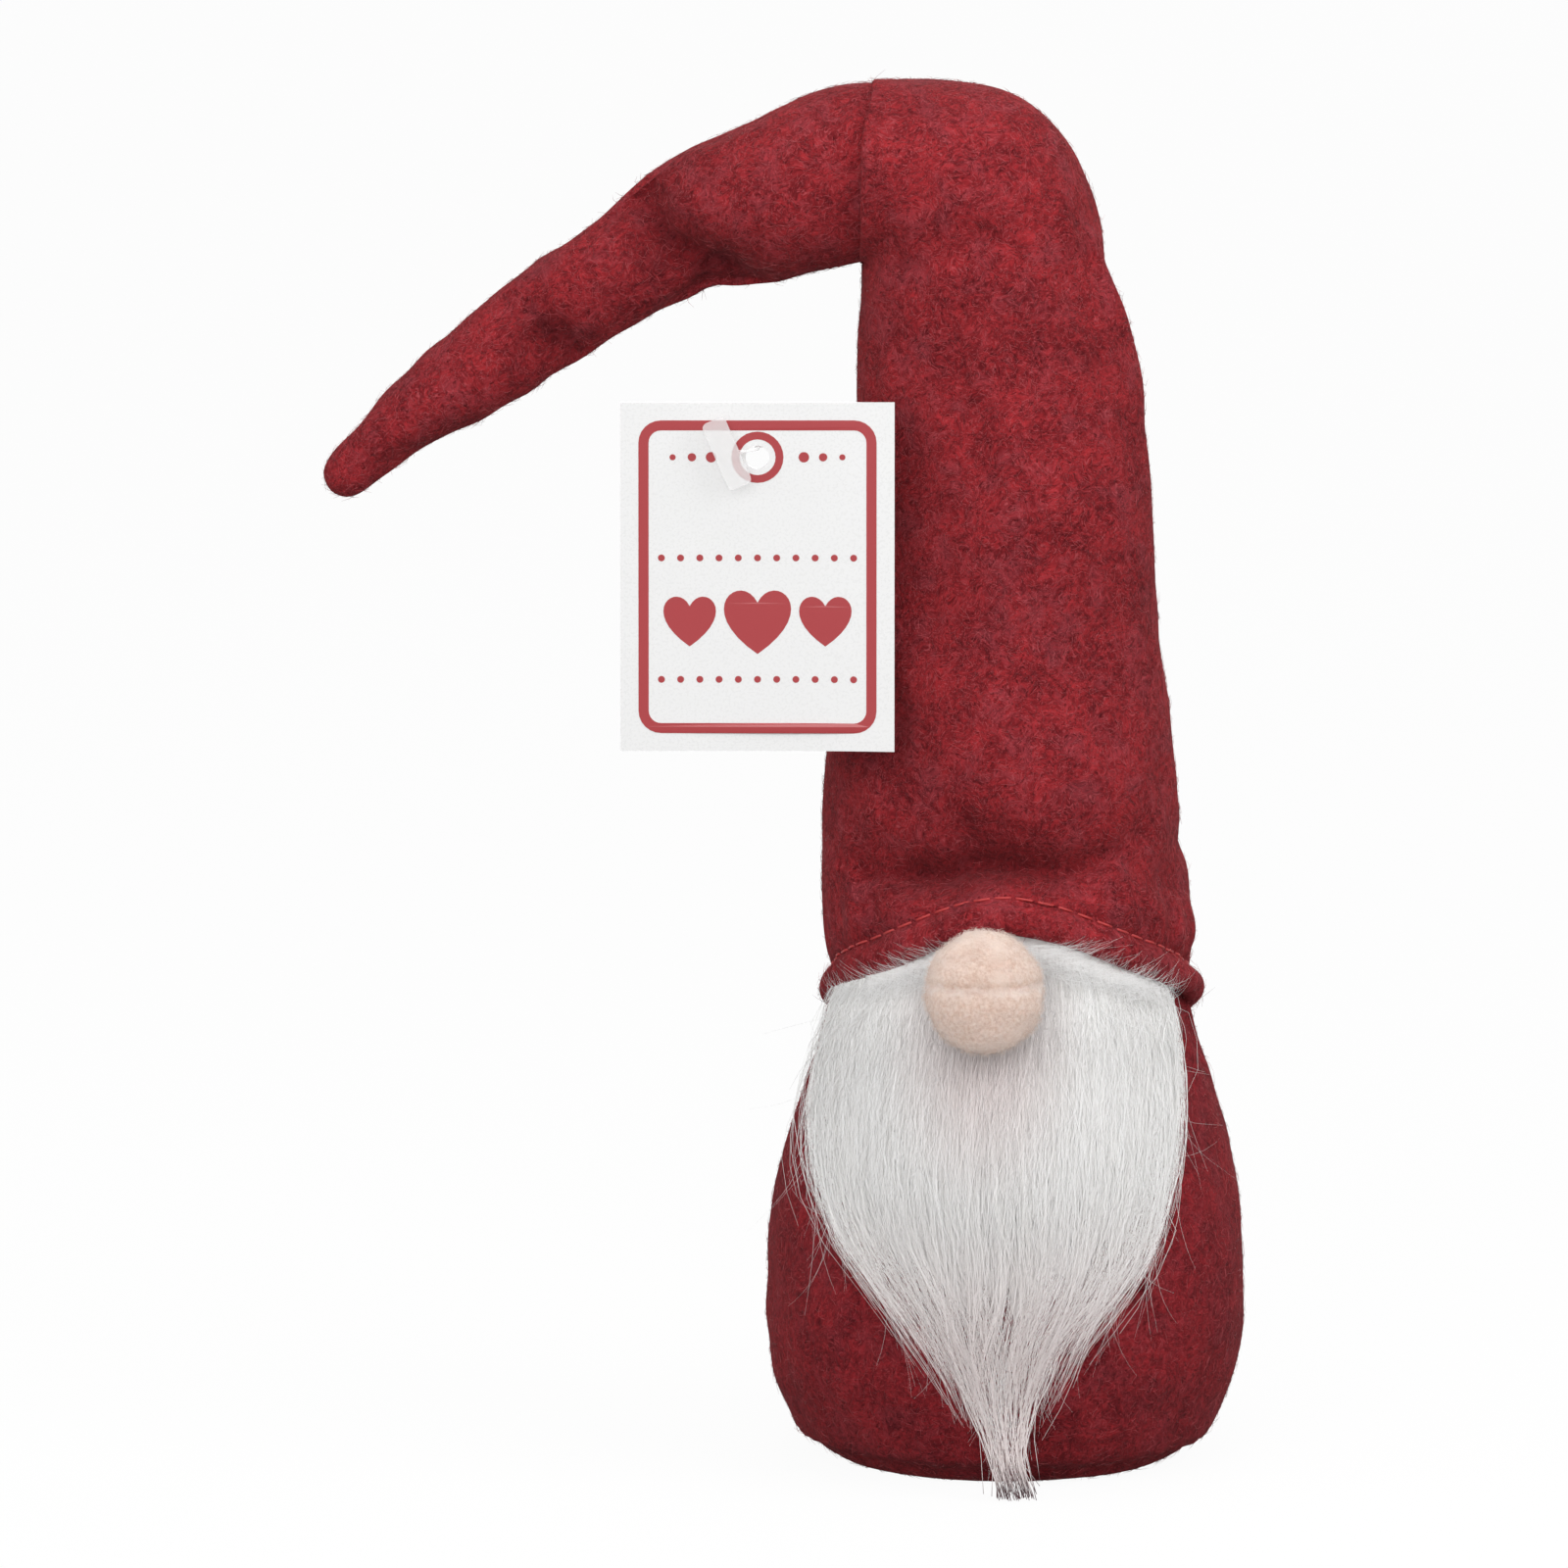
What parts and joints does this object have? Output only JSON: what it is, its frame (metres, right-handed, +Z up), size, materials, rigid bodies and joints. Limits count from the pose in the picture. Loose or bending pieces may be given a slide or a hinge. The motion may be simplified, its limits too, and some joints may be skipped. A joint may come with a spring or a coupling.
{
  "type": "tomte gnome figurine",
  "caption": "Stuffed felt gnome figurine: weighted sack body, long white beard, ball nose and a tall hat whose wired tip bends to the left, with a card tag on a plastic pin.",
  "frame": {"origin": "centre of the flat base, on the surface that the figurine stands on", "axes": "+Z up, -Y out of the figurine's front (nose and beard), +X to the right as seen from the front"},
  "size_m": [0.1649, 0.0966, 0.2475],
  "materials": {
    "red_felt": "needled melange felt, matte",
    "ballast": "granules in a muslin pouch",
    "fibre_fill": "loose polyester fibre",
    "red_thread": "sewing thread",
    "wire": "annealed bending wire",
    "fur_backing": "woven backing",
    "white_pile": "long straight pile",
    "peach_fleece": "short brushed nap",
    "tag_card": "glossy coated card with a red print",
    "clear_plastic": "clear moulded nylon"
  },
  "bodies": {
    "body": {"body_sack": "red_felt", "base_disc": "red_felt", "ballast_pouch": "ballast", "body_stuffing": "fibre_fill", "gather_thread": "red_thread", "beard_backing": "fur_backing", "beard_root": "white_pile", "nose_cover": "peach_fleece", "nose_core": "fibre_fill", "hat_upright": "red_felt", "hat_stuffing": "fibre_fill", "hat_wire_lower": "wire", "tag_pin": "clear_plastic"},
    "hat_tip": {"hat_tip": "red_felt", "tip_stuffing": "fibre_fill", "hat_wire_tip": "wire"},
    "beard_flap": {"beard_flap": "white_pile"},
    "gift_tag": {"gift_tag": "tag_card"}
  },
  "joints": [
    {"name": "hat_bend", "type": "hinge", "parent": "body", "child": "hat_tip", "pos_m": [-0.028, 0, 0.2309], "axis": [0, 1, 0], "range_deg": [-28, 28]},
    {"name": "tag_swing", "type": "hinge", "parent": "body", "child": "gift_tag", "pos_m": [-0.0438, -0.03171, 0.18675], "axis": [0, 1, 0], "range_deg": [-90, 90]},
    {"name": "beard_lift", "type": "hinge", "parent": "body", "child": "beard_flap", "pos_m": [0, -0.04228, 0.047], "axis": [-1, 0, 0], "range_deg": [0, 65]}
  ]
}
